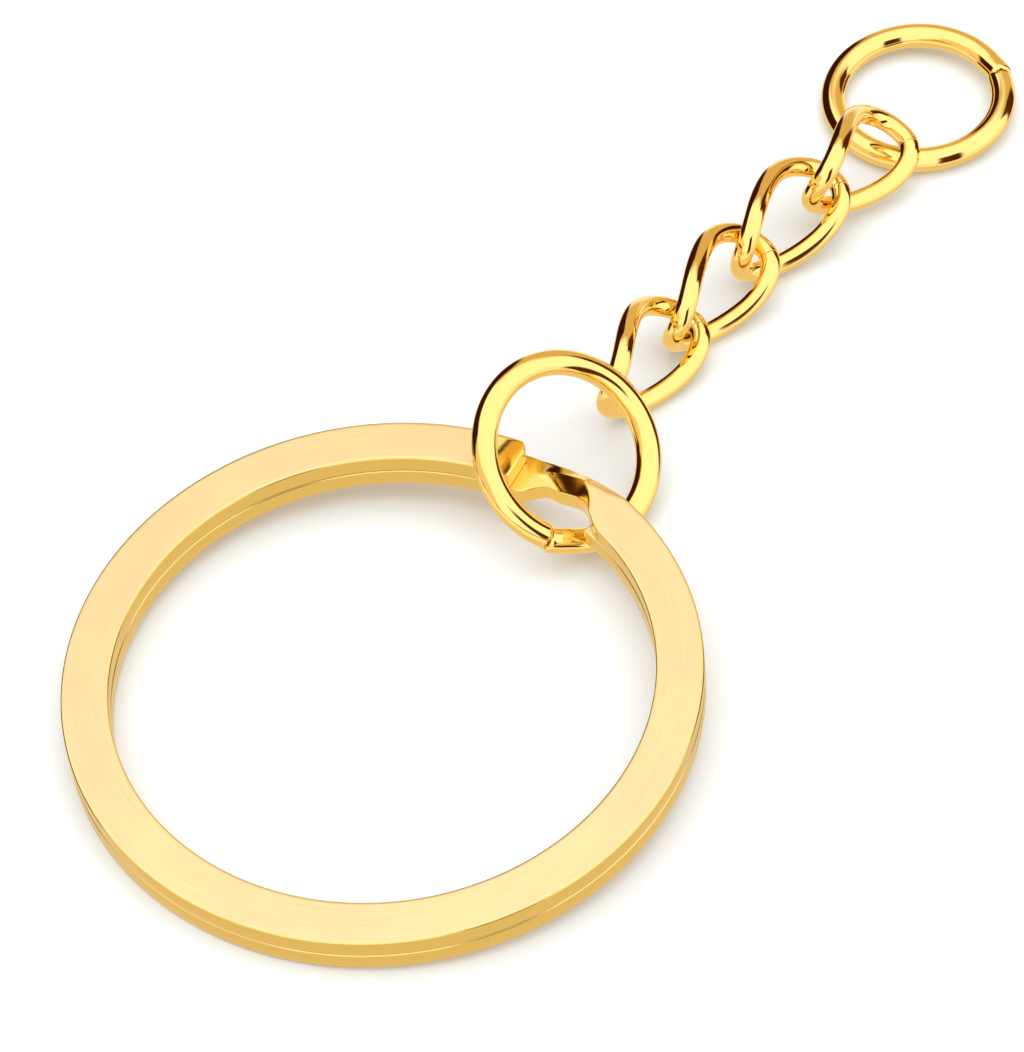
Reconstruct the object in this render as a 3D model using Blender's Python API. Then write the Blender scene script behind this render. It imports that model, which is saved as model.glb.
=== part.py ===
"""Key ring set lying on a table: a flat split ring, a jump ring, four twisted curb links and an end ring.

Seven separate wires, each one closed solid.  The frame is metres with +Z up.  The chain runs
towards +Y and the origin is under the middle of the whole set, on the surface that it lies on.
Angles that place the pieces are how the loose set happens to lie; every contact is worked out
from the wire sizes and a named clearance.
"""
import math

import bmesh
import bpy
from mathutils import Euler, Matrix, Vector

MM = 0.001

# Split ring: one flat strip wound twice round, with a crank where it steps down a turn.
SPLIT_OUTER_DIAMETER = 30.0 * MM
STRIP_WIDTH = 2.24 * MM
STRIP_THICKNESS = 0.94 * MM
TURN_GAP = 0.05 * MM
CRANK_SPAN = math.radians(11.5)
UPPER_END_SETBACK = math.radians(5.7)
LOWER_END_SETBACK = math.radians(2.8)
CRANK_HEADING = math.radians(85.6)

# Jump rings: round wire bent to a circle, cut ends almost meeting.
JUMP_OUTER_DIAMETER = 10.0 * MM
JUMP_WIRE_DIAMETER = 1.25 * MM

# Curb links: round wire bent to an oval, then twisted so that its two ends lie crosswise.
LINK_LENGTH = 8.2 * MM
LINK_WIDTH = 5.0 * MM
LINK_WIRE_DIAMETER = 1.0 * MM
LINK_TWIST = math.radians(93.0)
LINK_SQUARENESS = 2.54

BUTT_GAP = 0.08 * MM
CLEARANCE = 0.08 * MM

# How the loose set lies.  The split ring leans on the jump ring's wire, which runs under it.
LEAN_LIFT = 0.53 * MM
LEAN_HEADING = math.radians(78.5)
CROSSING_FROM_CRANK = math.radians(-7.65)
CROSSING_DROP = 0.10 * MM
LOWER_RING_TILT = math.radians(38.5)
LOWER_RING_HEADING = math.radians(-9.5)
LOWER_RING_CROSSING = math.radians(-17.0)
LOWER_RING_HOOK = math.radians(98.2)
LOWER_RING_BUTT = math.radians(-54.0)
END_RING_TILT = math.radians(3.4)
END_RING_HEADING = math.radians(-104.0)
END_RING_HOOK = math.radians(30.9)
END_RING_BUTT = math.radians(152.5)
LINK_BUTT_AT = 0.955

# Links in order: roll, pitch and yaw, then the slack to the wire before (along it, and the
# shares of the free room in its bend that are taken up sideways and upwards).
LINK_LAY = (
    {"turn": (10.3, 6.8, 91.7), "slack": None},
    {"turn": (16.1, -3.0, 88.4), "slack": (0.74 * MM, 0.40, -0.38)},
    {"turn": (7.8, -2.4, 85.4), "slack": (0.28 * MM, 0.03, 0.19)},
    {"turn": (16.3, 11.3, 85.1), "slack": (0.68 * MM, 0.48, -1.0)},
)
FIRST_LINK_SLACK = 0.53 * MM
FIRST_LINK_OUTWARD = 0.24 * MM
END_RING_SLACK = 0.25 * MM
END_RING_INWARD = 0.54 * MM

# Where each hinge stands: the wires roll on each other close to these lines.
STRAND_HINGE_FROM_CRANK = math.radians(6.2)
STRAND_HINGE_INSET = 0.2 * MM
BEND_HINGES = ((0.0, 0.5 * MM), (-1.0 * MM, 0.0), (0.0, 0.5 * MM), (-0.5 * MM, 0.5 * MM))

STRIP_STEP = math.radians(5.0)
CRANK_STEPS = 10
JUMP_POINTS = 44
LINK_POINTS = 50
DENSE_POINTS = 720
WIRE_SIDES_SETTING = 3

GOLD = (0.83, 0.62, 0.22, 1.0)

SPLIT_RADIUS = SPLIT_OUTER_DIAMETER / 2
STRIP_MIDDLE = SPLIT_RADIUS - STRIP_WIDTH / 2
TURN_PITCH = STRIP_THICKNESS + TURN_GAP
UPPER_TURN = 2 * math.pi - CRANK_SPAN - UPPER_END_SETBACK
LOWER_TURN = 2 * math.pi - CRANK_SPAN - LOWER_END_SETBACK
JUMP_RADIUS = (JUMP_OUTER_DIAMETER - JUMP_WIRE_DIAMETER) / 2
LINK_HALF_LENGTH = (LINK_LENGTH - LINK_WIRE_DIAMETER) / 2
LINK_HALF_WIDTH = (LINK_WIDTH - LINK_WIRE_DIAMETER) / 2
BEND_ROOM = LINK_HALF_WIDTH - LINK_WIRE_DIAMETER - CLEARANCE
LINK_TO_LINK = LINK_WIRE_DIAMETER + CLEARANCE
LINK_TO_JUMP = (LINK_WIRE_DIAMETER + JUMP_WIRE_DIAMETER) / 2 + CLEARANCE


def clear_scene():
    """Remove whatever the open file holds."""
    for old in list(bpy.data.objects):
        bpy.data.objects.remove(old, do_unlink=True)


def gold(name, roughness):
    """A polished gold-plated finish for one piece."""
    material = bpy.data.materials.new(name)
    material.use_nodes = True
    shader = material.node_tree.nodes["Principled BSDF"]
    shader.inputs["Base Color"].default_value = GOLD
    shader.inputs["Metallic"].default_value = 1.0
    shader.inputs["Roughness"].default_value = roughness
    return material


def add_empty(name, parent, place):
    """An empty that carries a piece, at a place in the parent's frame."""
    empty = bpy.data.objects.new(name, None)
    bpy.context.scene.collection.objects.link(empty)
    empty.parent = parent
    empty.location = place
    return empty


def place_piece(piece, pivot, rest):
    """Hang a piece on its pivot empty so that it rests at the matrix given in the set's frame."""
    piece.parent = pivot
    piece.location = rest.translation - pivot.location
    piece.rotation_euler = rest.to_euler()


def ease(share):
    """A smooth step from 0 to 1."""
    return share * share * (3 - 2 * share)


def split_ring_station(angle):
    """Radial direction and height of the strip at an angle counted from its upper end."""
    drop = min(max((angle - UPPER_TURN) / CRANK_SPAN, 0.0), 1.0)
    height = TURN_PITCH * (1 - ease(drop))
    heading = UPPER_END_SETBACK + CRANK_SPAN / 2 + angle
    return Vector((math.cos(heading), math.sin(heading), 0)), height


def split_ring_angles():
    """Angles of the strip's cross-sections, closer together on the crank."""
    steps = math.ceil(UPPER_TURN / STRIP_STEP)
    angles = [UPPER_TURN * i / steps for i in range(steps)]
    angles += [UPPER_TURN + CRANK_SPAN * i / CRANK_STEPS for i in range(CRANK_STEPS)]
    angles += [UPPER_TURN + CRANK_SPAN + LOWER_TURN * i / steps for i in range(steps + 1)]
    return angles


def make_split_ring():
    """The flat strip, swept twice round; its own +X points at the middle of the crank."""
    mesh = bpy.data.meshes.new("split_ring")
    bm = bmesh.new()
    sections = []
    for angle in split_ring_angles():
        radial, height = split_ring_station(angle)
        inner = radial * (SPLIT_RADIUS - STRIP_WIDTH)
        outer = radial * SPLIT_RADIUS
        low = Vector((0, 0, height))
        high = Vector((0, 0, height + STRIP_THICKNESS))
        corners = (inner + low, outer + low, outer + high, inner + high)
        sections.append([bm.verts.new(corner) for corner in corners])
    for before, after in zip(sections, sections[1:]):
        for i in range(4):
            j = (i + 1) % 4
            bm.faces.new((before[i], before[j], after[j], after[i]))
    bm.faces.new(sections[0])
    bm.faces.new(reversed(sections[-1]))
    bmesh.ops.recalc_face_normals(bm, faces=bm.faces)
    bm.to_mesh(mesh)
    bm.free()
    mesh.shade_smooth()
    mesh.set_sharp_from_angle(angle=math.radians(30))
    piece = bpy.data.objects.new("split_ring", mesh)
    bpy.context.scene.collection.objects.link(piece)
    piece.data.materials.append(gold("satin_gold_strip", 0.25))
    return piece


def split_ring_rest():
    """The split ring's resting matrix: one edge on the table, leaning up over the jump ring."""
    lift = JUMP_WIRE_DIAMETER + LEAN_LIFT
    lean = math.asin(lift / (SPLIT_RADIUS + STRIP_MIDDLE))
    across = Vector((math.sin(LEAN_HEADING), -math.cos(LEAN_HEADING), 0))
    tilt = Matrix.Rotation(lean, 4, across)
    raised = Matrix.Translation((0, 0, SPLIT_RADIUS * math.sin(lean)))
    return raised @ tilt @ Matrix.Rotation(CRANK_HEADING, 4, "Z")


def spread(dense, count, gap_at):
    """Points evenly along a closed dense curve, left open by BUTT_GAP at a share of its length."""
    lengths = [0.0]
    for i, point in enumerate(dense):
        lengths.append(lengths[-1] + (dense[(i + 1) % len(dense)] - point).length)
    total = lengths[-1]
    points = []
    segment = 0
    for k in range(count):
        along = BUTT_GAP / 2 + (total - BUTT_GAP) * k / (count - 1)
        target = (gap_at * total + along) % total
        segment = max(i for i in range(len(dense)) if lengths[i] <= target)
        share = (target - lengths[segment]) / (lengths[segment + 1] - lengths[segment])
        after = dense[(segment + 1) % len(dense)]
        points.append(dense[segment].lerp(after, share))
    return points


def make_wire(name, points, diameter):
    """A round wire along the points, with flat cut ends."""
    curve = bpy.data.curves.new(name, "CURVE")
    curve.dimensions = "3D"
    curve.bevel_depth = diameter / 2
    curve.bevel_resolution = WIRE_SIDES_SETTING
    curve.use_fill_caps = True
    spline = curve.splines.new("POLY")
    spline.points.add(len(points) - 1)
    for slot, point in zip(spline.points, points):
        slot.co = (*point, 1.0)
    spline.use_smooth = True
    piece = bpy.data.objects.new(name, curve)
    bpy.context.scene.collection.objects.link(piece)
    piece.data.materials.append(gold("polished_gold_" + name, 0.08))
    return piece


def make_jump_ring(name, butt_at):
    """A jump ring in its own XY plane, its cut at an angle from +X."""
    dense = []
    for i in range(DENSE_POINTS):
        angle = 2 * math.pi * i / DENSE_POINTS
        dense.append(Vector((math.cos(angle), math.sin(angle), 0)) * JUMP_RADIUS)
    share = (butt_at / (2 * math.pi)) % 1.0
    return make_wire(name, spread(dense, JUMP_POINTS, share), JUMP_WIRE_DIAMETER)


def rounded(value):
    """One coordinate of a squared oval."""
    return math.copysign(abs(value) ** (2 / LINK_SQUARENESS), value)


def link_point(angle):
    """Middle of a link's wire: a squared oval that twists from flat at +X to upright at -X."""
    along = rounded(math.cos(angle))
    across = rounded(math.sin(angle)) * LINK_HALF_WIDTH
    twist = LINK_TWIST * (1 - along) / 2
    return Vector((along * LINK_HALF_LENGTH, across * math.cos(twist), across * math.sin(twist)))


def make_link(name):
    """A twisted curb link in its own frame, flat bend at +X and upright bend at -X."""
    dense = [link_point(2 * math.pi * i / DENSE_POINTS) for i in range(DENSE_POINTS)]
    return make_wire(name, spread(dense, LINK_POINTS, LINK_BUTT_AT), LINK_WIRE_DIAMETER)


def ring_basis(tilt, heading):
    """A ring's axes: +X runs downhill towards the heading and +Z is the ring's normal."""
    return Matrix.Rotation(heading, 4, "Z") @ Matrix.Rotation(tilt, 4, "Y")


def on_circle(angle, radius):
    """A point on a ring's circle, in the ring's own frame."""
    return Vector((math.cos(angle), math.sin(angle), 0)) * radius


def lower_ring_rest(split_rest):
    """The lower jump ring's matrix: its wire passes under the split ring just at the crank."""
    below = (JUMP_WIRE_DIAMETER / 2) + CLEARANCE + CROSSING_DROP
    crossing = on_circle(CROSSING_FROM_CRANK, STRIP_MIDDLE) - Vector((0, 0, below))
    basis = ring_basis(LOWER_RING_TILT, LOWER_RING_HEADING)
    reach = basis @ on_circle(LOWER_RING_CROSSING, JUMP_RADIUS)
    return Matrix.Translation(split_rest @ crossing - reach) @ basis


def link_basis(lay):
    """A link's turn: roll about its length, then pitch, then yaw."""
    return Euler([math.radians(value) for value in lay["turn"]], "XYZ").to_matrix().to_4x4()


def chain_rests(lower_rest):
    """Each link's resting matrix, hooked one after another onto the wire before it."""
    flat_tip = Vector((LINK_HALF_LENGTH, 0, 0))
    drop = LINK_TO_JUMP + FIRST_LINK_SLACK
    hooked = on_circle(LOWER_RING_HOOK, JUMP_RADIUS + FIRST_LINK_OUTWARD)
    upright_tip = lower_rest @ (hooked - Vector((0, 0, drop)))
    rests = []
    for lay in LINK_LAY:
        if rests:
            slack, sideways, upwards = lay["slack"]
            offset = Vector((LINK_TO_LINK + slack, sideways * BEND_ROOM, upwards * BEND_ROOM))
            upright_tip = rests[-1] @ (flat_tip - offset)
        basis = link_basis(lay)
        rests.append(Matrix.Translation(upright_tip + basis @ flat_tip) @ basis)
    return rests


def end_ring_rest(last_rest):
    """The end ring's matrix: its wire passes through the last link's flat bend."""
    basis = ring_basis(END_RING_TILT, END_RING_HEADING)
    above = LINK_TO_JUMP + END_RING_SLACK
    inside = on_circle(END_RING_HOOK, JUMP_RADIUS - END_RING_INWARD) + Vector((0, 0, above))
    tip = last_rest @ Vector((LINK_HALF_LENGTH, 0, 0))
    return Matrix.Translation(tip - basis @ inside) @ basis


def lowest_and_middle(pieces):
    """The point under the middle of all the pieces."""
    bpy.context.view_layer.update()
    graph = bpy.context.evaluated_depsgraph_get()
    corners = []
    for piece in pieces:
        shown = piece.evaluated_get(graph)
        mesh = shown.to_mesh()
        corners += [shown.matrix_world @ vertex.co for vertex in mesh.vertices]
        shown.to_mesh_clear()
    low = [min(corner[axis] for corner in corners) for axis in range(3)]
    high = [max(corner[axis] for corner in corners) for axis in range(3)]
    return Vector(((low[0] + high[0]) / 2, (low[1] + high[1]) / 2, low[2]))


def main():
    """Build the set, each moving piece on an empty that stands on its hinge."""
    clear_scene()
    table = add_empty("table_origin", None, (0, 0, 0))

    split_rest = split_ring_rest()
    lower_rest = lower_ring_rest(split_rest)
    link_rests = chain_rests(lower_rest)
    end_rest = end_ring_rest(link_rests[-1])

    strand = on_circle(STRAND_HINGE_FROM_CRANK, SPLIT_RADIUS - STRAND_HINGE_INSET)
    pivots = [split_rest @ (strand + Vector((0, 0, TURN_PITCH)))]
    pivots += [lower_rest @ on_circle(LOWER_RING_HOOK, JUMP_RADIUS)]
    for rest, (along, up) in zip(link_rests, BEND_HINGES):
        pivots += [rest @ Vector((LINK_HALF_LENGTH + along, 0, up))]

    split_ring = make_split_ring()
    place_piece(split_ring, table, split_rest)
    moving = [make_jump_ring("lower_jump_ring", LOWER_RING_BUTT)]
    moving += [make_link(f"chain_link_{i + 1}") for i in range(len(LINK_LAY))]
    moving += [make_jump_ring("end_jump_ring", END_RING_BUTT)]
    rests = [lower_rest, *link_rests, end_rest]
    for piece, pivot, rest in zip(moving, pivots, rests):
        place_piece(piece, add_empty("hinge_" + piece.name, table, pivot), rest)

    table.location = -lowest_and_middle([split_ring, *moving])


main()
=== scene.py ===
"""Gold-plated key ring set lying on a white table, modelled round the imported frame.

Seven loose pieces: a flat split ring, a jump ring, four twisted curb links and an end ring.
Each piece is made straight, as drawn wire or rolled strip, and is then bent to its shape.
Lengths are metres unless a name says otherwise, +Z is up and the chain runs towards +Y.
"""
import math

import bpy
from mathutils import Euler, Matrix, Vector


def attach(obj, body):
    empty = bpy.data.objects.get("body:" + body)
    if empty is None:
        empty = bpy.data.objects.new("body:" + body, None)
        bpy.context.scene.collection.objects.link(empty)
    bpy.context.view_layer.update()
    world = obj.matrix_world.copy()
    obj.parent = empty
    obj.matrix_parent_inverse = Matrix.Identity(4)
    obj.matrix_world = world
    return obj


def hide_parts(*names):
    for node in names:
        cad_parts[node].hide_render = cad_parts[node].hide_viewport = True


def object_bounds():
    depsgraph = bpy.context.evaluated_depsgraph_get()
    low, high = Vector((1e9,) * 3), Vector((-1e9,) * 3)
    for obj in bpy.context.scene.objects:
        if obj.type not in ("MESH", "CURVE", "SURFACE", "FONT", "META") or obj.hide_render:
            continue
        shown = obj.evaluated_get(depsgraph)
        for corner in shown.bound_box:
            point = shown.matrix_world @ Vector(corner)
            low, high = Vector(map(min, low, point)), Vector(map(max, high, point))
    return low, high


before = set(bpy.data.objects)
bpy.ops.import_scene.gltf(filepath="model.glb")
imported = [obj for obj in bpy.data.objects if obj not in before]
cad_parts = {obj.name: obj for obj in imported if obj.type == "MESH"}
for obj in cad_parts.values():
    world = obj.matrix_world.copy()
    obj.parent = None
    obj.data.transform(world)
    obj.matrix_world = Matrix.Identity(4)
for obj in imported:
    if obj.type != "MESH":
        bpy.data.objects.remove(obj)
cad_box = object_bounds()

MM = 0.001

# ---- Sizes, the same as the frame's ----------------------------------------------------------

SPLIT_RADIUS = 15.0 * MM
STRIP_WIDTH = 2.24 * MM
STRIP_THICKNESS = 0.94 * MM
TURN_PITCH = STRIP_THICKNESS + 0.05 * MM
STRIP_MIDDLE = SPLIT_RADIUS - STRIP_WIDTH / 2
CRANK_SPAN = math.radians(11.5)
UPPER_END_SETBACK = math.radians(5.7)
LOWER_END_SETBACK = math.radians(2.8)
CRANK_HEADING = math.radians(85.6)

JUMP_WIRE = 1.25 * MM
JUMP_RADIUS = (10.0 * MM - JUMP_WIRE) / 2

LINK_WIRE = 1.0 * MM
LINK_HALF_LENGTH = (8.2 * MM - LINK_WIRE) / 2
LINK_HALF_WIDTH = (5.0 * MM - LINK_WIRE) / 2
LINK_TWIST = math.radians(93.0)
LINK_SQUARENESS = 2.54

CLEARANCE = 0.08 * MM
BEND_ROOM = LINK_HALF_WIDTH - LINK_WIRE - CLEARANCE
LINK_TO_LINK = LINK_WIRE + CLEARANCE
LINK_TO_JUMP = (LINK_WIRE + JUMP_WIRE) / 2 + CLEARANCE

# ---- How the loose set lies, the same as the frame's -----------------------------------------

LEAN_LIFT = JUMP_WIRE + 0.53 * MM
LEAN_HEADING = math.radians(78.5)
CROSSING_FROM_CRANK = math.radians(-7.65)
CROSSING_DROP = 0.10 * MM
LOWER_RING_TILT = math.radians(38.5)
LOWER_RING_HEADING = math.radians(-9.5)
LOWER_RING_CROSSING = math.radians(-17.0)
LOWER_RING_HOOK = math.radians(98.2)
LOWER_RING_BUTT = math.radians(-54.0)
END_RING_TILT = math.radians(3.4)
END_RING_HEADING = math.radians(-104.0)
END_RING_HOOK = math.radians(30.9)
END_RING_BUTT = math.radians(152.5)
LINK_BUTT_AT = 0.955
LINK_LAY = (
    {"turn": (10.3, 6.8, 91.7), "slack": None},
    {"turn": (16.1, -3.0, 88.4), "slack": (0.74 * MM, 0.40, -0.38)},
    {"turn": (7.8, -2.4, 85.4), "slack": (0.28 * MM, 0.03, 0.19)},
    {"turn": (16.3, 11.3, 85.1), "slack": (0.68 * MM, 0.48, -1.0)},
)
FIRST_LINK_SLACK = 0.53 * MM
FIRST_LINK_OUTWARD = 0.24 * MM
END_RING_SLACK = 0.25 * MM
END_RING_INWARD = 0.54 * MM

# ---- Detail that only the shown pieces have --------------------------------------------------

STRIP_LENGTHWISE = 1440
STRIP_CROSSWISE = 12
STRIP_EDGE = 0.07 * MM
STRIP_EDGE_STEPS = 3
CRANK_TOP_FILLET = 0.08
CRANK_FOOT_FILLET = 0.20
CREASE_INNER = math.radians(-8.6)
CREASE_RIDGE = math.radians(-2.8)
FACET_SPAN = math.radians(11.5)
RIDGE_PLACE = STRIP_WIDTH / 12
RIDGE_FROM = math.radians(-11.0)
OUTER_FALL_TOP = math.radians(-11.0)
OUTER_FALL_UNDER = math.radians(-8.4)
OUTER_FALL_TO = math.radians(9.0)
NECK_INNER_TRIM = 1.0 * MM
NECK_FROM = math.radians(-14.0)
NECK_FULL = (math.radians(-2.5), math.radians(4.5))
NECK_TO = math.radians(10.0)
SLANT_FULL = math.radians(10.0)
SLANT_FADE = math.radians(12.0)
END_CORNER = 0.55 * MM
END_CORNER_CUT = 0.88
PRESSED_LENGTH = 4.2 * MM
UPPER_END_BRIGHT = 1.4 * MM

WIRE_SIDES = 40
WIRE_CUTS = 99
WIRE_RECUTS = 2
WIRE_PATH_POINTS = 901
DENSE_POINTS = 1440
JUMP_GAP = 0.05 * MM
JUMP_CUT_EDGE = 0.20 * MM
LINK_GAP = 0.012 * MM
LINK_CUT_EDGE = 0.02 * MM
CUT_EDGE_STEPS = 3
BUTT_STEP_SPAN = math.radians(16.0)
LOWER_RING_STEP = (0.14 * MM, -0.05 * MM)
END_RING_STEP = (0.10 * MM, 0.05 * MM)
SMOOTH_LIMIT = math.radians(40)

# ---- Marks that making leaves: length along the stock and width across it, in millimetres ---------

CLOUD_MARK = (4.55, 2.0)
# Real brush lines are about 0.02 mm apart, and are drawn three times as coarse so that they show.
BRUSH_MARK = (2.86, 0.0625)
BRUSH_DEPTH = 0.002 * MM
SHEEN_MARK = (2.0, 0.111)
BEND_WAVE_MARK = (1.82, 0.77)
BEND_WAVE_DEPTH = 0.008 * MM
# Die lines on drawn wire are finer than this too.
DIE_LINE_MARK = (2.5, 0.111)
DIE_LINE_DEPTH = 0.001 * MM
PLATING_MARK = (1.25, 0.25)
NOISE_LOW = 0.3
NOISE_HIGH = 0.7

# ---- Camera: where it stands round the set, and how it frames it -------------------------------

CAMERA_AIM = Vector((-0.74, -7.15, 1.5)) * MM
CAMERA_AZIMUTH = math.radians(36.47)
CAMERA_ELEVATION = math.radians(49.49)
CAMERA_ROLL = math.radians(-2.5)
CAMERA_DISTANCE = 239.6 * MM
CAMERA_LENS_MM = 171.1
CAMERA_SENSOR_MM = 36.0
CAMERA_NEAR = 10.0 * MM

FLOOR_SIZE = 4.0

# ---- Light tent: how bright it is, and its dimmer parts.  Degrees, turned clockwise from +Y ------

TENT_STRENGTH = 1.3
TENT_LIGHT = "#FFFFFF"
TENT_ZONES = (
    {"what": "table", "turned": (-180, 180), "raised": (-90, -4), "soft": 4, "light": "#EFEBE6"},
    {"what": "table below", "turned": (-180, 180), "raised": (-90, -38), "soft": 16, "light": "#D6C4A6"},
    {"what": "left wall", "turned": (-180, -118), "raised": (-4, 25), "soft": 14, "light": "#DCCBB4"},
    {"what": "back wall", "turned": (-56, 18), "raised": (2, 43), "soft": 14, "light": "#C8AC84"},
    {"what": "left opening", "turned": (-118, -48), "raised": (-24, 32), "soft": 7, "light": "#34120A"},
    {"what": "right back slit", "turned": (17, 36), "raised": (-20, 36), "soft": 6, "light": "#4A2410"},
    {"what": "front right slit", "turned": (106, 124), "raised": (-14, 36), "soft": 7, "light": "#4A2410"},
)
OVERHEAD_SIZE = 0.8
OVERHEAD_HEIGHT = 0.6
OVERHEAD_WATTS = 1.45


# ---- Small helpers -----------------------------------------------------------------------------

def deselect_all():
    """Leave nothing selected, so that an operator acts only on what is picked next."""
    bpy.ops.object.select_all(action="DESELECT")


def only(piece):
    """Select one object and make it the active one."""
    deselect_all()
    piece.select_set(True)
    bpy.context.view_layer.objects.active = piece


def pick_edges(piece, wanted):
    """In edge mode, select the edges whose two end points pass a test; ends in edit mode."""
    only(piece)
    bpy.ops.object.mode_set(mode="EDIT")
    bpy.ops.mesh.select_mode(type="EDGE")
    bpy.ops.mesh.select_all(action="DESELECT")
    bpy.ops.object.mode_set(mode="OBJECT")
    points = piece.data.vertices
    for edge in piece.data.edges:
        first, second = (points[i].co for i in edge.vertices)
        edge.select = wanted(first, second)
    bpy.ops.object.mode_set(mode="EDIT")


def ease(share):
    """A smooth step from 0 to 1."""
    share = min(max(share, 0.0), 1.0)
    return share * share * (3 - 2 * share)


def remember_straight(piece):
    """Keep where each point was while the stock was straight, for patterns that follow it."""
    kept = piece.data.attributes.new("as_drawn", "FLOAT_VECTOR", "POINT")
    for place, vertex in zip(kept.data, piece.data.vertices):
        place.vector = vertex.co / MM


def put_at_rest(piece, rest):
    """Lay a piece at its resting matrix, with its place in its mesh."""
    only(piece)
    piece.matrix_world = rest
    bpy.ops.object.transform_apply()
    bpy.ops.object.shade_smooth_by_angle(angle=SMOOTH_LIMIT)


# ---- Split ring: a flat strip wound twice round -----------------------------------------------

UPPER_TURN = 2 * math.pi - CRANK_SPAN - UPPER_END_SETBACK
LOWER_TURN = 2 * math.pi - CRANK_SPAN - LOWER_END_SETBACK
STRIP_LENGTH = (UPPER_TURN + CRANK_SPAN + LOWER_TURN) * STRIP_MIDDLE


def make_straight_strip():
    """A flat bar from x = 0, two turns long, with all its long and end edges eased."""
    deselect_all()
    bpy.ops.mesh.primitive_grid_add(
        x_subdivisions=STRIP_LENGTHWISE,
        y_subdivisions=STRIP_CROSSWISE,
        size=1,
        location=(STRIP_LENGTH / 2, 0, 0),
    )
    bar = bpy.context.object
    bar.scale = (STRIP_LENGTH, STRIP_WIDTH, 1)
    bpy.ops.object.transform_apply()
    bpy.ops.object.mode_set(mode="EDIT")
    bpy.ops.mesh.select_all(action="SELECT")
    bpy.ops.mesh.extrude_region_move(TRANSFORM_OT_translate={"value": (0, 0, STRIP_THICKNESS)})
    bpy.ops.mesh.select_all(action="SELECT")
    bpy.ops.mesh.normals_make_consistent(inside=False)
    bpy.ops.mesh.select_mode(type="EDGE")
    bpy.ops.mesh.select_all(action="DESELECT")
    bpy.ops.mesh.edges_select_sharp(sharpness=math.radians(60))
    bpy.ops.mesh.bevel(offset=STRIP_EDGE, segments=STRIP_EDGE_STEPS, profile=0.5)
    bpy.ops.object.mode_set(mode="OBJECT")
    return bar


def end_trim(place):
    """How far a point near the strip's upper end moves in, which rounds its outer corner."""
    from_corner = place.y - (STRIP_WIDTH / 2 - END_CORNER)
    if from_corner <= 0 or place.x >= END_CORNER:
        return 0.0
    depth = END_CORNER - math.sqrt(max(END_CORNER ** 2 - from_corner ** 2, 0.0))
    return END_CORNER_CUT * depth * (1 - place.x / END_CORNER)


def stepped_down(share):
    """Share of the drop done at a share of the crank: a sharp crease at the top, a soft foot."""
    slope = 1 / (1 - (CRANK_TOP_FILLET + CRANK_FOOT_FILLET) / 2)
    if share <= 0:
        return 0.0
    if share < CRANK_TOP_FILLET:
        return slope * share ** 2 / (2 * CRANK_TOP_FILLET)
    if share < 1 - CRANK_FOOT_FILLET:
        return slope * (share - CRANK_TOP_FILLET / 2)
    if share < 1:
        return 1 - slope * (1 - share) ** 2 / (2 * CRANK_FOOT_FILLET)
    return 1.0


def neck_share(turned):
    """How far the strip is drawn in at an angle from mid-crank: 0 away from the crank, 1 in it."""
    rise = ease((turned - NECK_FROM) / (NECK_FULL[0] - NECK_FROM))
    fall = ease((NECK_TO - turned) / (NECK_TO - NECK_FULL[1]))
    return min(rise, fall)


def crease_at(across):
    """Angle from mid-crank of the crease, which slants from the inner edge out to the ridge."""
    share = min((across + STRIP_WIDTH / 2) / (RIDGE_PLACE + STRIP_WIDTH / 2), 1.0)
    return CREASE_INNER + (CREASE_RIDGE - CREASE_INNER) * share


def crank_place(turned, across, above):
    """A point of the strip's section near the crank: radial place and height off the lower turn.

    In front of the crease the strip falls in a slanting facet. Outside the ridge it comes down in
    one long slope, which starts later underneath, where the lower turn's end is in the way.
    """
    edge = STRIP_WIDTH / 2
    drop = stepped_down((turned - crease_at(across)) / FACET_SPAN)
    ridge_share = min(max((turned - RIDGE_FROM) / (CREASE_RIDGE - RIDGE_FROM), 0.0), 1.0)
    ridge = edge + (RIDGE_PLACE - edge) * ridge_share
    if ridge_share > 0 and across > ridge:
        under = 1 - above / STRIP_THICKNESS
        starts = OUTER_FALL_TOP + (OUTER_FALL_UNDER - OUTER_FALL_TOP) * under
        fallen = min(max((turned - starts) / (OUTER_FALL_TO - starts), 0.0), 1.0)
        drop += (fallen - drop) * (across - ridge) / (edge - ridge)
    across += NECK_INNER_TRIM * neck_share(turned) * (edge - across) / STRIP_WIDTH
    return across, TURN_PITCH * (1 - drop) + above


def wound_place(place):
    """Where a point of the straight strip goes when the strip is wound: +X is mid-crank."""
    angle = (place.x + end_trim(place)) / STRIP_MIDDLE
    turned = angle - UPPER_TURN - CRANK_SPAN / 2
    nearness = 1 - ease((abs(turned) - SLANT_FULL) / SLANT_FADE)
    slide = (crease_at(place.y) - CREASE_RIDGE) * nearness
    turned += slide
    across, height = place.y, place.z
    if turned < NECK_FROM:
        height += TURN_PITCH
    elif turned < NECK_TO:
        across, height = crank_place(turned, across, height)
    heading = UPPER_END_SETBACK + CRANK_SPAN / 2 + angle + slide
    radius = STRIP_MIDDLE + across
    return Vector((radius * math.cos(heading), radius * math.sin(heading), height))


def make_split_ring(rest):
    """The split ring: the bar wound twice round, stepping down a turn at the crank.

    Winding mirrors the bar, so its faces are turned back outwards afterwards.
    """
    ring = make_straight_strip()
    ring.name = "split_ring_strip"
    remember_straight(ring)
    for vertex in ring.data.vertices:
        vertex.co = wound_place(vertex.co)
    only(ring)
    bpy.ops.object.mode_set(mode="EDIT")
    bpy.ops.mesh.select_all(action="SELECT")
    bpy.ops.mesh.flip_normals()
    bpy.ops.object.mode_set(mode="OBJECT")
    put_at_rest(ring, rest)
    return ring


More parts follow.
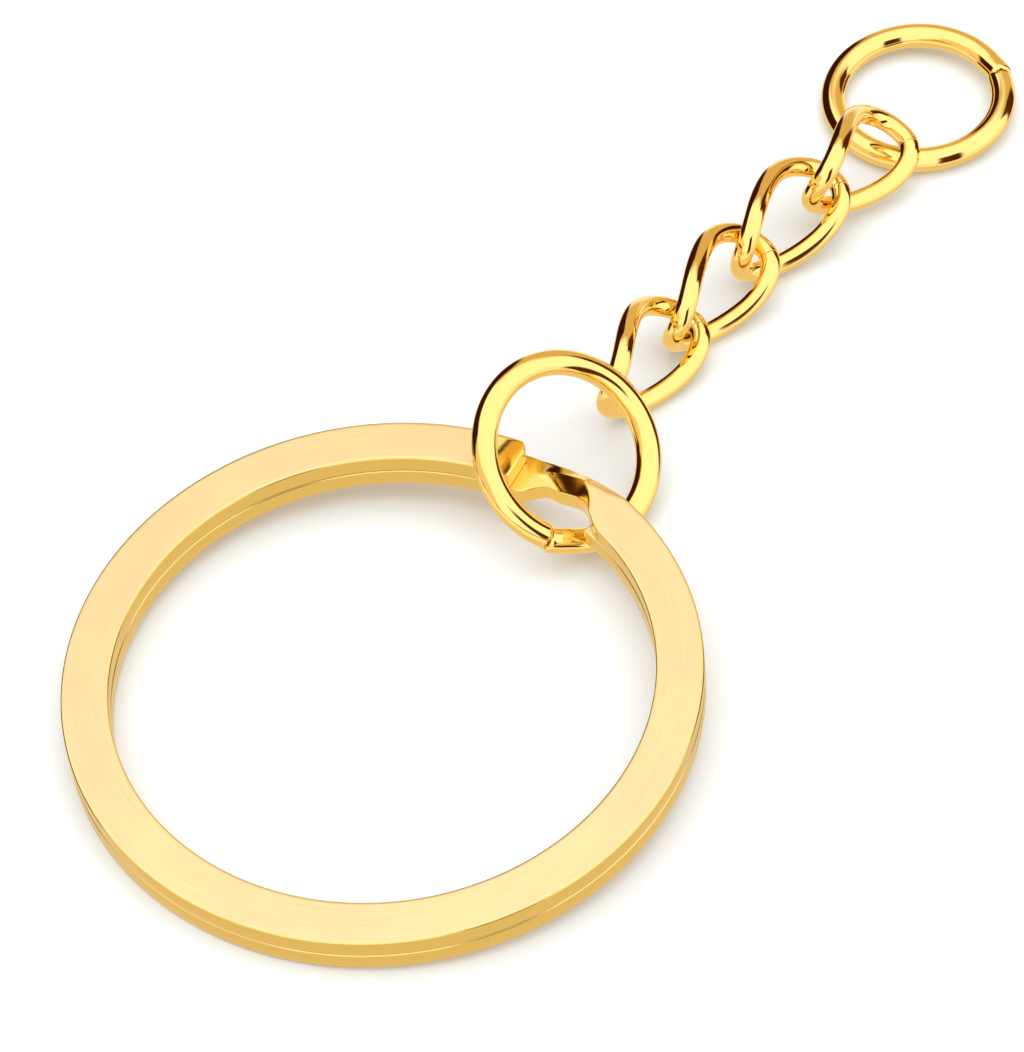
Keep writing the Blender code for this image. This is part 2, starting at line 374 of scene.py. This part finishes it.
def split_ring_rest():
    """The split ring's resting matrix: one edge on the table, leaning up over the jump ring."""
    lean = math.asin(LEAN_LIFT / (SPLIT_RADIUS + STRIP_MIDDLE))
    across = Vector((math.sin(LEAN_HEADING), -math.cos(LEAN_HEADING), 0))
    tilt = Matrix.Rotation(lean, 4, across)
    raised = Matrix.Translation((0, 0, SPLIT_RADIUS * math.sin(lean)))
    return raised @ tilt @ Matrix.Rotation(CRANK_HEADING, 4, "Z")


# ---- Wires: straight rods with eased cut ends, bent along a path --------------------------------

def spread(dense, gap_at, gap):
    """Evenly spaced points along a closed curve, cut open by a gap at a share of its length."""
    lengths = [0.0]
    for i, point in enumerate(dense):
        lengths.append(lengths[-1] + (dense[(i + 1) % len(dense)] - point).length)
    total = lengths[-1]
    points = []
    segment = 0
    previous = 0.0
    for k in range(WIRE_PATH_POINTS):
        along = gap / 2 + (total - gap) * k / (WIRE_PATH_POINTS - 1)
        target = (gap_at * total + along) % total
        if target < previous:
            segment = 0
        previous = target
        while lengths[segment + 1] < target:
            segment += 1
        share = (target - lengths[segment]) / (lengths[segment + 1] - lengths[segment])
        points.append(dense[segment].lerp(dense[(segment + 1) % len(dense)], share))
    return points


def add_path(points):
    """A curve through the points, for a wire to be bent along."""
    curve = bpy.data.curves.new("wire_path", "CURVE")
    curve.dimensions = "3D"
    spline = curve.splines.new("POLY")
    spline.points.add(len(points) - 1)
    for slot, point in zip(spline.points, points):
        slot.co = (*point, 1.0)
    path = bpy.data.objects.new("wire_path", curve)
    bpy.context.scene.collection.objects.link(path)
    return path


def make_straight_rod(diameter, length, cut_edge):
    """A round rod from x = 0 with eased cut ends, divided evenly along its length."""
    deselect_all()
    bpy.ops.mesh.primitive_cylinder_add(
        vertices=WIRE_SIDES,
        radius=diameter / 2,
        depth=length,
        location=(length / 2, 0, 0),
        rotation=(0, math.pi / 2, 0),
    )
    rod = bpy.context.object
    bpy.ops.object.transform_apply()
    pick_edges(rod, lambda a, b: abs(a.x - b.x) < length / 2)
    bpy.ops.mesh.bevel(offset=cut_edge, segments=CUT_EDGE_STEPS, profile=0.5)
    bpy.ops.object.mode_set(mode="OBJECT")
    for cuts, share in ((WIRE_CUTS, 0.5), (WIRE_RECUTS, 0.5 / (WIRE_CUTS + 1))):
        pick_edges(rod, lambda a, b: abs(a.x - b.x) > length * share)
        bpy.ops.mesh.subdivide(number_cuts=cuts)
        bpy.ops.object.mode_set(mode="OBJECT")
    return rod


def bend_wire(name, points, diameter, cut_edge, rest):
    """A round wire bent along the points and laid at its resting matrix."""
    path = add_path(points)
    length = sum((b - a).length for a, b in zip(points, points[1:]))
    wire = make_straight_rod(diameter, length, cut_edge)
    wire.name = name
    remember_straight(wire)
    bend = wire.modifiers.new("bend", "CURVE")
    bend.object = path
    bend.deform_axis = "POS_X"
    only(wire)
    bpy.ops.object.modifier_apply(modifier=bend.name)
    bpy.data.objects.remove(path)
    put_at_rest(wire, rest)
    return wire


def jump_ring_path(butt_at, step):
    """Middle of a jump ring's wire; past the cut it is stepped outwards and sideways a little."""
    dense = []
    for i in range(DENSE_POINTS):
        turned = 2 * math.pi * i / DENSE_POINTS
        share = 1 - ease(turned / BUTT_STEP_SPAN)
        angle = butt_at + turned
        radial = Vector((math.cos(angle), math.sin(angle), 0))
        outward, sideways = step
        dense.append(radial * (JUMP_RADIUS + outward * share) + Vector((0, 0, sideways * share)))
    return dense


def make_jump_ring(name, butt_at, step, rest):
    """A jump ring, its cut at an angle from its own +X."""
    points = spread(jump_ring_path(butt_at, step), 0.0, JUMP_GAP)
    return bend_wire(name, points, JUMP_WIRE, JUMP_CUT_EDGE, rest)


def rounded(value):
    """One coordinate of a squared oval."""
    return math.copysign(abs(value) ** (2 / LINK_SQUARENESS), value)


def link_point(angle):
    """Middle of a link's wire: a squared oval that twists from flat at +X to upright at -X."""
    along = rounded(math.cos(angle))
    across = rounded(math.sin(angle)) * LINK_HALF_WIDTH
    twist = LINK_TWIST * (1 - along) / 2
    return Vector((along * LINK_HALF_LENGTH, across * math.cos(twist), across * math.sin(twist)))


def make_link(name, rest):
    """A twisted curb link, flat bend at its own +X and upright bend at -X."""
    dense = [link_point(2 * math.pi * i / DENSE_POINTS) for i in range(DENSE_POINTS)]
    points = spread(dense, LINK_BUTT_AT, LINK_GAP)
    return bend_wire(name, points, LINK_WIRE, LINK_CUT_EDGE, rest)


# ---- Where each wire rests ----------------------------------------------------------------------

def ring_basis(tilt, heading):
    """A ring's axes: +X runs downhill towards the heading and +Z is the ring's normal."""
    return Matrix.Rotation(heading, 4, "Z") @ Matrix.Rotation(tilt, 4, "Y")


def on_circle(angle, radius):
    """A point on a ring's circle, in the ring's own frame."""
    return Vector((math.cos(angle), math.sin(angle), 0)) * radius


def lower_ring_rest(split_rest):
    """The lower jump ring's matrix: its wire passes under the split ring just at the crank."""
    below = (JUMP_WIRE / 2) + CLEARANCE + CROSSING_DROP
    crossing = on_circle(CROSSING_FROM_CRANK, STRIP_MIDDLE) - Vector((0, 0, below))
    basis = ring_basis(LOWER_RING_TILT, LOWER_RING_HEADING)
    reach = basis @ on_circle(LOWER_RING_CROSSING, JUMP_RADIUS)
    return Matrix.Translation(split_rest @ crossing - reach) @ basis


def link_basis(lay):
    """A link's turn: roll about its length, then pitch, then yaw."""
    return Euler([math.radians(value) for value in lay["turn"]], "XYZ").to_matrix().to_4x4()


def chain_rests(lower_rest):
    """Each link's resting matrix, hooked one after another onto the wire before it."""
    flat_tip = Vector((LINK_HALF_LENGTH, 0, 0))
    drop = LINK_TO_JUMP + FIRST_LINK_SLACK
    hooked = on_circle(LOWER_RING_HOOK, JUMP_RADIUS + FIRST_LINK_OUTWARD)
    upright_tip = lower_rest @ (hooked - Vector((0, 0, drop)))
    rests = []
    for lay in LINK_LAY:
        if rests:
            slack, sideways, upwards = lay["slack"]
            offset = Vector((LINK_TO_LINK + slack, sideways * BEND_ROOM, upwards * BEND_ROOM))
            upright_tip = rests[-1] @ (flat_tip - offset)
        basis = link_basis(lay)
        rests.append(Matrix.Translation(upright_tip + basis @ flat_tip) @ basis)
    return rests


def end_ring_rest(last_rest):
    """The end ring's matrix: its wire passes through the last link's flat bend."""
    basis = ring_basis(END_RING_TILT, END_RING_HEADING)
    above = LINK_TO_JUMP + END_RING_SLACK
    inside = on_circle(END_RING_HOOK, JUMP_RADIUS - END_RING_INWARD) + Vector((0, 0, above))
    tip = last_rest @ Vector((LINK_HALF_LENGTH, 0, 0))
    return Matrix.Translation(tip - basis @ inside) @ basis


def joint_box(pieces):
    """Lowest and highest corner of several pieces together."""
    corners = [vertex.co for piece in pieces for vertex in piece.data.vertices]
    low = Vector(min(corner[axis] for corner in corners) for axis in range(3))
    high = Vector(max(corner[axis] for corner in corners) for axis in range(3))
    return low, high


def move_onto_frame(pieces):
    """Shift the whole set so that its box sits on the frame's, touching the table."""
    low, high = joint_box(pieces)
    shift = (cad_box[0] + cad_box[1] - low - high) / 2
    shift.z = cad_box[0].z - low.z
    for piece in pieces:
        piece.data.transform(Matrix.Translation(shift))


def build_set():
    """Every piece at rest, keyed by the frame node that it stands for."""
    split_rest = split_ring_rest()
    lower_rest = lower_ring_rest(split_rest)
    link_rests = chain_rests(lower_rest)
    end_rest = end_ring_rest(link_rests[-1])
    pieces = {"split_ring": make_split_ring(split_rest)}
    pieces["lower_jump_ring"] = make_jump_ring(
        "lower_jump_ring_wire", LOWER_RING_BUTT, LOWER_RING_STEP, lower_rest
    )
    for i, rest in enumerate(link_rests, 1):
        pieces[f"chain_link_{i}"] = make_link(f"chain_link_{i}_wire", rest)
    pieces["end_jump_ring"] = make_jump_ring(
        "end_jump_ring_wire", END_RING_BUTT, END_RING_STEP, end_rest
    )
    move_onto_frame(pieces.values())
    return pieces


# ---- Materials ----------------------------------------------------------------------------------

def linear(hex_colour):
    """An sRGB hex colour as linear RGBA."""
    values = [int(hex_colour[i:i + 2], 16) / 255 for i in (1, 3, 5)]
    light = [v / 12.92 if v <= 0.04045 else ((v + 0.055) / 1.055) ** 2.4 for v in values]
    return (*light, 1.0)


def new_material(name):
    """An empty node material with a shader and an output; returns it and its shader."""
    material = bpy.data.materials.new(name)
    material.use_nodes = True
    return material, material.node_tree.nodes["Principled BSDF"]


def node(tree, kind, settings=(), inputs=()):
    """Add a node: settings are attributes, inputs are values or sockets to link from."""
    made = tree.nodes.new(kind)
    for key, value in dict(settings).items():
        setattr(made, key, value)
    for key, value in dict(inputs).items():
        if isinstance(value, bpy.types.NodeSocket):
            tree.links.new(value, made.inputs[key])
        else:
            made.inputs[key].default_value = value
    return made


def mixed_colour(tree, share, first, second, blend="MIX"):
    """Two colours mixed by a share."""
    settings = {"data_type": "RGBA", "blend_type": blend}
    return node(tree, "ShaderNodeMix", settings, {0: share, 6: first, 7: second}).outputs[2]


def mixed_value(tree, share, first, second):
    """Two numbers mixed by a share."""
    return node(tree, "ShaderNodeMix", {"data_type": "FLOAT"}, {0: share, 2: first, 3: second}).outputs[0]


def zone_mask(tree, value, low, high, softness):
    """1 where a value is between two limits, easing to 0 over the softness outside them."""
    rise = node(tree, "ShaderNodeMapRange", {"interpolation_type": "SMOOTHSTEP"},
                {0: value, 1: low - softness, 2: low})
    fall = node(tree, "ShaderNodeMapRange", {"interpolation_type": "SMOOTHSTEP"},
                {0: value, 1: high + softness, 2: high})
    both = node(tree, "ShaderNodeMath", {"operation": "MULTIPLY"}, {0: rise.outputs[0], 1: fall.outputs[0]})
    return both.outputs[0]


def drawn_place(tree):
    """Where a point was on the straight stock: x along it, y across and z up, in millimetres."""
    return node(tree, "ShaderNodeAttribute", {"attribute_name": "as_drawn"}).outputs["Vector"]


def marks(tree, mark, detail, low, high):
    """Noise drawn out along the stock to a mark's length and width, spread between two values."""
    length, width = mark
    stretch = (1 / length, 1 / width, 1 / width)
    scaling = {0: drawn_place(tree), 1: stretch}
    place = node(tree, "ShaderNodeVectorMath", {"operation": "MULTIPLY"}, scaling).outputs[0]
    noise = node(tree, "ShaderNodeTexNoise", {}, {"Vector": place, "Scale": 1.0, "Detail": detail})
    limits = {0: noise.outputs[0], 1: NOISE_LOW, 2: NOISE_HIGH, 3: low, 4: high}
    return node(tree, "ShaderNodeMapRange", {}, limits).outputs[0]


def satin_gold_strip():
    """Gold plate over rolled brass strip.

    The flat faces are brushed along the strip, which spreads reflections into a pale sheen. The
    cut sides are a darker, deeper yellow, which is painted shade for the shaded table close to the
    ring that they mirror. The pressed crank and the upper end are burnished by the die, so that
    they mirror what is round them.
    """
    material, shader = new_material("satin_gold_plated_strip")
    tree = material.node_tree
    parts = node(tree, "ShaderNodeSeparateXYZ", {}, {0: drawn_place(tree)}).outputs
    from_middle = node(tree, "ShaderNodeMath", {"operation": "ABSOLUTE"}, {0: parts["Y"]}).outputs[0]
    face_edge = (STRIP_WIDTH / 2 - STRIP_EDGE) / MM
    on_side = zone_mask(tree, from_middle, face_edge, STRIP_WIDTH / MM, 0.03)
    crease = (UPPER_TURN + CRANK_SPAN / 2 + CREASE_RIDGE) * STRIP_MIDDLE / MM
    in_crank = zone_mask(tree, parts["X"], crease, crease + PRESSED_LENGTH / MM, 0.15)
    at_end = zone_mask(tree, parts["X"], -1.0, UPPER_END_BRIGHT / MM, 0.5)
    pressed = node(tree, "ShaderNodeMath", {"operation": "MAXIMUM"}, {0: in_crank, 1: at_end}).outputs[0]

    cloud = marks(tree, CLOUD_MARK, 2.0, 0.0, 1.0)
    brushing = marks(tree, BRUSH_MARK, 3.0, 0.0, 1.0)
    colour = mixed_colour(tree, cloud, linear("#FFE2AC"), linear("#FFEAAE"))
    colour = mixed_colour(tree, 0.08, colour, brushing, "MULTIPLY")
    # Painted shade: the cut sides get a darker, deeper yellow, as where they mirror the shaded table close to
    # the ring.
    colour = mixed_colour(tree, on_side, colour, linear("#F2D582"))
    colour = mixed_colour(tree, pressed, colour, linear("#FBD97E"))
    rough = marks(tree, SHEEN_MARK, 2.0, 0.28, 0.36)
    rough = mixed_value(tree, on_side, rough, 0.18)
    rough = mixed_value(tree, pressed, rough, 0.10)
    brushed = {"Strength": 0.5, "Distance": BRUSH_DEPTH, "Height": brushing}
    bump = node(tree, "ShaderNodeBump", {}, brushed).outputs[0]
    tree.links.new(colour, shader.inputs["Base Color"])
    tree.links.new(rough, shader.inputs["Roughness"])
    tree.links.new(bump, shader.inputs["Normal"])
    shader.inputs["Metallic"].default_value = 1.0
    return material


def polished_gold_wire():
    """Bright gold plate over drawn brass wire.

    The plating is near-mirror. Bending leaves soft waves and the drawing die leaves faint lines,
    so that bright and dark bands run along the wire and waver a little.
    """
    material, shader = new_material("bright_gold_plated_wire")
    tree = material.node_tree
    waves = marks(tree, BEND_WAVE_MARK, 1.0, 0.0, 1.0)
    lines = marks(tree, DIE_LINE_MARK, 2.0, 0.0, 1.0)
    bent = {"Strength": 1.0, "Distance": BEND_WAVE_DEPTH, "Height": waves}
    wavy = node(tree, "ShaderNodeBump", {}, bent).outputs[0]
    drawn = {"Strength": 0.4, "Distance": DIE_LINE_DEPTH, "Height": lines, "Normal": wavy}
    lined = node(tree, "ShaderNodeBump", {}, drawn).outputs[0]
    tree.links.new(lined, shader.inputs["Normal"])
    tree.links.new(marks(tree, PLATING_MARK, 2.0, 0.05, 0.11), shader.inputs["Roughness"])
    shader.inputs["Base Color"].default_value = linear("#FFDF86")
    shader.inputs["Metallic"].default_value = 1.0
    return material


def white_table():
    """Moulded white acrylic sheet with a soft satin surface, a plain ground for soft shadows."""
    material, shader = new_material("white_acrylic_table")
    shader.inputs["Base Color"].default_value = linear("#F2F8FC")
    shader.inputs["Roughness"].default_value = 0.5
    return material


# ---- Stage ----------------------------------------------------------------------------------------

def add_floor():
    """The table that the set lies on."""
    deselect_all()
    bpy.ops.mesh.primitive_plane_add(size=FLOOR_SIZE)
    floor = bpy.context.object
    floor.name = "table_top"
    floor.data.materials.append(white_table())
    floor.visible_glossy = False


def add_overhead():
    """A soft light that whitens the table; the metal doesn't mirror it."""
    data = bpy.data.lights.new("overhead", "AREA")
    data.shape = "DISK"
    data.size = OVERHEAD_SIZE
    data.energy = OVERHEAD_WATTS
    overhead = bpy.data.objects.new("overhead", data)
    overhead.location = (0, 0, OVERHEAD_HEIGHT)
    overhead.visible_glossy = False
    bpy.context.scene.collection.objects.link(overhead)


def add_world():
    """The inside of a white light tent; only reflections see the darker room in its openings."""
    world = bpy.data.worlds.new("light_tent")
    bpy.context.scene.world = world
    world.use_nodes = True
    tree = world.node_tree
    direction = node(tree, "ShaderNodeTexCoord").outputs["Generated"]
    parts = node(tree, "ShaderNodeSeparateXYZ", {}, {0: direction}).outputs
    turned = node(tree, "ShaderNodeMath", {"operation": "ARCTAN2"}, {0: parts["X"], 1: parts["Y"]}).outputs[0]
    raised = node(tree, "ShaderNodeMath", {"operation": "ARCSINE"}, {0: parts["Z"]}).outputs[0]
    light = linear(TENT_LIGHT)
    for zone in TENT_ZONES:
        limits = [math.radians(value) for value in (*zone["turned"], zone["soft"])]
        mask = zone_mask(tree, turned, *limits)
        limits = [math.radians(value) for value in (*zone["raised"], zone["soft"])]
        mask = node(tree, "ShaderNodeMath", {"operation": "MULTIPLY"},
                    {0: mask, 1: zone_mask(tree, raised, *limits)}).outputs[0]
        light = mixed_colour(tree, mask, light, linear(zone["light"]))
    seen = node(tree, "ShaderNodeLightPath").outputs["Is Camera Ray"]
    light = mixed_colour(tree, seen, light, linear(TENT_LIGHT))
    background = tree.nodes["Background"]
    tree.links.new(light, background.inputs["Color"])
    background.inputs["Strength"].default_value = TENT_STRENGTH


def add_camera():
    """The camera, aimed at the set from its front right and above."""
    data = bpy.data.cameras.new("camera")
    data.lens = CAMERA_LENS_MM
    data.sensor_width = CAMERA_SENSOR_MM
    data.clip_start = CAMERA_NEAR
    camera = bpy.data.objects.new("camera", data)
    bpy.context.scene.collection.objects.link(camera)
    turn = Matrix.Rotation(CAMERA_AZIMUTH, 4, "Z")
    turn @= Matrix.Rotation(math.pi / 2 - CAMERA_ELEVATION, 4, "X")
    turn @= Matrix.Rotation(CAMERA_ROLL, 4, "Z")
    back = turn.to_3x3() @ Vector((0, 0, CAMERA_DISTANCE))
    camera.matrix_world = Matrix.Translation(CAMERA_AIM + back) @ turn
    bpy.context.scene.camera = camera


# ---- Put together -----------------------------------------------------------------------------------

add_camera()
add_floor()
add_overhead()
add_world()
finishes = {"satin_gold_strip": satin_gold_strip(), "polished_gold_wire": polished_gold_wire()}
for node_name, piece in build_set().items():
    slot_name = "satin_gold_strip" if node_name == "split_ring" else "polished_gold_wire"
    piece.data.materials.clear()
    piece.data.materials.append(finishes[slot_name])
    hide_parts(node_name)
    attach(piece, node_name)

bpy.context.scene.view_settings.view_transform = "Standard"
